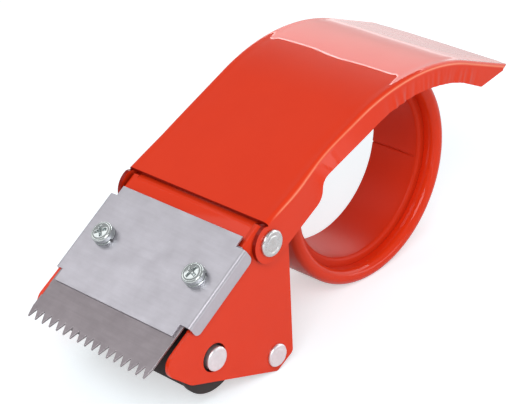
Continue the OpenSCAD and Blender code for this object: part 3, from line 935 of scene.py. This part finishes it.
def cutterSpot(node):
    # centre and height range of each of the two mirrored fasteners, from the node's own mesh
    spots = [vertex.co / mm for vertex in nodes[node].data.vertices]
    halves = [[spot for spot in spots if spot.y < 0], [spot for spot in spots if spot.y > 0]]
    found = []
    for half in halves:
        centre = Vector()
        for way in (slopeUp, faceAcross):
            reaches = [spot.dot(way) for spot in half]
            centre += way * (min(reaches) + max(reaches)) / 2
        heights = [spot.dot(faceUp) for spot in half]
        found.append((centre, min(heights), max(heights)))
    return found


def facePlace(centre, radius, angle, rise):
    # place around a fastener's axis, in metres
    return (centre + faceUp * rise + radius * (math.cos(angle) * faceAcross + math.sin(angle) * slopeUp)) * mm


def buildScrew(name, centre, low, high, look, turn):
    # head face as a height field over a disc, then the side, seat and plain shank
    mesh = bmesh.new()
    segments, steps, flat = 120, 30, look["radius"]

    def height(radius, angle):
        crown = -look["crown"] * (radius / flat) ** 2
        rim = -look["crown"] * max(0.0, (radius / flat - 0.88) / 0.12) ** 2
        x, y = radius * math.cos(angle - turn), radius * math.sin(angle - turn)
        cut = 0.0
        for a, b in ((x, y), (y, x)):
            wall = (look["arm"] * (1.12 - 0.22 * abs(a) / look["reach"]) - abs(b)) / 0.16
            end = (look["reach"] - abs(a)) / 0.35
            slope = max(0.12, 1 - abs(a) / look["reach"] * 0.55)
            cut = max(cut, look["depth"] * slope * max(0.0, min(1.0, wall)) * max(0.0, min(1.0, end)))
        ring = -0.10 * math.exp(-((radius - flat * 0.76) / 0.16) ** 2)
        return high + crown + rim + ring - cut

    def ringAt(radius, level):
        # level is a height, or a function of radius and angle
        ring = []
        for k in range(segments if radius else 1):
            angle = 2 * math.pi * k / segments
            rise = level(radius, angle) if callable(level) else level
            ring.append(mesh.verts.new(facePlace(centre, radius, angle, rise)))
        return ring

    seat, shank = high - look["height"], look["shank"]
    edge = height(flat, math.pi / 4 + turn)
    rings = [ringAt(0, height(0.001, 0))]
    rings += [ringAt(flat * (step / steps), height) for step in range(1, steps + 1)]
    side = (flat + 0.02, edge - 0.3), (flat, seat + 0.15), (flat - 0.15, seat)
    below = (shank, seat), (shank, low + 0.4), (shank - 0.4, low), (0, low)
    rings += [ringAt(*spot) for spot in side + below]
    for a, b in zip(rings, rings[1:]):
        bridge(mesh, a, b)
    bmesh.ops.recalc_face_normals(mesh, faces=mesh.faces)
    return meshPiece(mesh, name, 38)


washerLook = {
    "bore": 2.25,
    "radius": 4.35,
    "step": 0.28,
    "gap": 12,
    "turn": 150,
    "between": 40,
}


def buildWasher(name, centre, low, high, look, turn):
    # split spring washer: a square section ring whose ends step apart
    mesh = bmesh.new()
    segments, thick, bore, rim = 56, (high - low) - 0.3, look["bore"], look["radius"]
    outside = (rim - 0.25, 0.0), (rim, 0.2), (rim, thick - 0.15), (rim - 0.2, thick)
    section = ((bore, 0.0), *outside, (bore, thick))
    rings = []
    for k in range(segments + 1):
        angle = turn + math.radians(look["gap"] / 2 + (360 - look["gap"]) * k / segments)
        lift = look["step"] * max(0.0, k / segments - 0.55) / 0.45
        spots = [facePlace(centre, out, angle, low + level + lift) for out, level in section]
        rings.append([mesh.verts.new(spot) for spot in spots])
    for a, b in zip(rings, rings[1:]):
        bridge(mesh, a, b)
    mesh.faces.new(rings[0])
    mesh.faces.new(list(reversed(rings[-1])))
    bmesh.ops.recalc_face_normals(mesh, faces=mesh.faces)
    return meshPiece(mesh, name, 38)


def joined(name, pieces):
    # one object from several meshes
    mesh = bmesh.new()
    for piece in pieces:
        mesh.from_mesh(piece.data)
    data = bpy.data.meshes.new(name)
    mesh.to_mesh(data)
    mesh.free()
    for piece in pieces:
        bpy.data.objects.remove(piece)
    return stand(name, data)


screws, washers = [], []
for k, (spot, low, high) in enumerate(cutterSpot("cover_screws")):
    screws.append(buildScrew("screw_%d" % k, spot, low, high, screwLook, math.radians(screwLook["turns"][k])))
for k, (spot, low, high) in enumerate(cutterSpot("screw_washers")):
    turn = math.radians(washerLook["turn"] + washerLook["between"] * k)
    washers.append(buildWasher("washer_%d" % k, spot, low, high, washerLook, turn))
adopt(joined("cover_screws_cut", screws), "cover_screws", screwZinc)
adopt(joined("screw_washers_split", washers), "screw_washers", screwZinc)
print("screws cut")


# stage, light and camera

stageLook = {
    "floor": (0.86, 0.86, 0.87),
    "floorSeen": (0.72, 0.81, 0.86),
    "floorLift": 0.50,
    "floorShine": 1.0,
    "nearShine": 0.10,
    "shineFrom": (0.55, 0.5),
    "worldDiffuse": 0.50,
    "worldGloss": 0.42,
    "floorReach": 4.0,
}


def makeFloor(look):
    # pale sheet: the camera sees it lifted to white, reflections see it brighter further off
    data = bpy.data.meshes.new("floorSheet")
    reach = look["floorReach"]
    corners = [(-reach, -reach, 0), (reach, -reach, 0), (reach, reach, 0), (-reach, reach, 0)]
    data.from_pydata(corners, [], [(0, 1, 2, 3)])
    r = Recipe(bpy.data.materials.new("paleFloor"))
    view = r.add("LightPath", out="Is Camera Ray")
    shine = r.add("LightPath", out="Is Glossy Ray")
    plain = r.add("BsdfDiffuse", Color=r.mix(view, look["floor"], look["floorSeen"]))
    away = r.add("VectorMath", {"operation": "LENGTH"}, out="Value", i0=r.place)
    glow = shine * (look["nearShine"] + away.above(*look["shineFrom"]) * look["floorShine"])
    lift = r.add("Emission", Color=(1, 1, 1), Strength=view * look["floorLift"] + glow)
    r.close(r.add("AddShader", i0=plain, i1=lift))
    data.materials.append(r.owner)
    stand("floorSheet", data)


def makeWorld(look):
    # white to the camera, dimmer to diffuse and glossy rays
    world = bpy.data.worlds.new("studio")
    bpy.context.scene.world = world
    r = Recipe(world)
    seen = r.add("LightPath", out="Is Camera Ray")
    gloss = r.add("LightPath", out="Is Glossy Ray")
    even, shiny = look["worldDiffuse"], look["worldGloss"]
    level = even + (shiny - even) * gloss + (1 - even) * seen
    r.close(r.add("Background", Color=(1, 1, 1), Strength=level), "OutputWorld")


makeFloor(stageLook)
makeWorld(stageLook)

lampLook = {
    "keyBox": {"place": (-0.80, -0.68, 0.90), "aim": (0, 0, 0.04), "size": (0.7, 0.7), "power": 9.2},
    "backCard": {"place": (-0.55, 0.95, 1.05), "aim": (-0.05, 0, 0.05), "size": (0.55, 1.0), "power": 2.1},
    "sideStrip": {"place": (1.5, -1.7, 0.32), "aim": (0, 0, 0.06), "size": (1.6, 0.55), "power": 8.0},
}
for name, look in lampLook.items():
    lamp = bpy.data.lights.new(name, "AREA")
    lamp.shape, lamp.energy = "RECTANGLE", look["power"]
    lamp.size, lamp.size_y = look["size"]
    box = stand(name, lamp)
    box.location = look["place"]
    box.rotation_euler = (Vector(look["aim"]) - Vector(look["place"])).to_track_quat("-Z", "Y").to_euler()

cardLook = {
    "x": 1.0,
    "from": -0.6,
    "to": 2.4,
    "top": 0.944,
    "ragged": 0.010,
    "low": 1.15,
    "high": 4.1,
    "rim": 9.0,
    "columns": 240,
}


def makeCard(look):
    # white card behind the tail that only reflections see; its torn upper edge is brighter
    columns, points = look["columns"], []
    for k in range(columns + 1):
        y = look["from"] + (look["to"] - look["from"]) * k / columns
        broad, fine = noise.noise(Vector((y * 9, 0, 5))), noise.noise(Vector((y * 31, 2, 5)))
        tear = look["ragged"] * (broad + 0.7 * fine)
        points += [(look["x"], y, 0.002), (look["x"], y, look["top"] + tear)]
    faces = [(2 * k, 2 * k + 2, 2 * k + 3, 2 * k + 1) for k in range(columns)]
    data = bpy.data.meshes.new("rearCard")
    data.from_pydata(points, [], faces)
    r = Recipe(bpy.data.materials.new("whiteCard"))
    tall = r.add("SeparateXYZ", out="Z", Vector=r.place) / look["top"]
    glow = look["low"] + (look["high"] - look["low"]) * tall.above(0.62, 0.9)
    glow = glow + look["rim"] * tall.above(0.975, 0.02)
    r.close(r.add("Emission", Color=(1, 1, 1), Strength=glow))
    data.materials.append(r.owner)
    card = stand("rearCard", data)
    card.visible_camera = card.visible_diffuse = card.visible_shadow = card.visible_transmission = False


makeCard(cardLook)

cameraLook = {
    "place": (-0.4587, -0.4513, 0.3790),
    "right": (0.69086, -0.72179, -0.04166),
    "up": (0.36031, 0.29377, 0.88537),
    "back": (-0.62681, -0.62667, 0.46302),
    "lens": 133.7,
}
lens = bpy.data.cameras.new("view")
lens.lens, lens.sensor_width, lens.sensor_fit = cameraLook["lens"], 36, "HORIZONTAL"
lens.clip_start, lens.clip_end = 0.01, 50
camera = stand("view", lens)
turn = Matrix([cameraLook["right"], cameraLook["up"], cameraLook["back"]]).transposed()
camera.matrix_world = Matrix.Translation(cameraLook["place"]) @ turn.to_4x4()
bpy.context.scene.camera = camera
bpy.context.scene.view_settings.view_transform = "Standard"
print("stage, light and camera set")
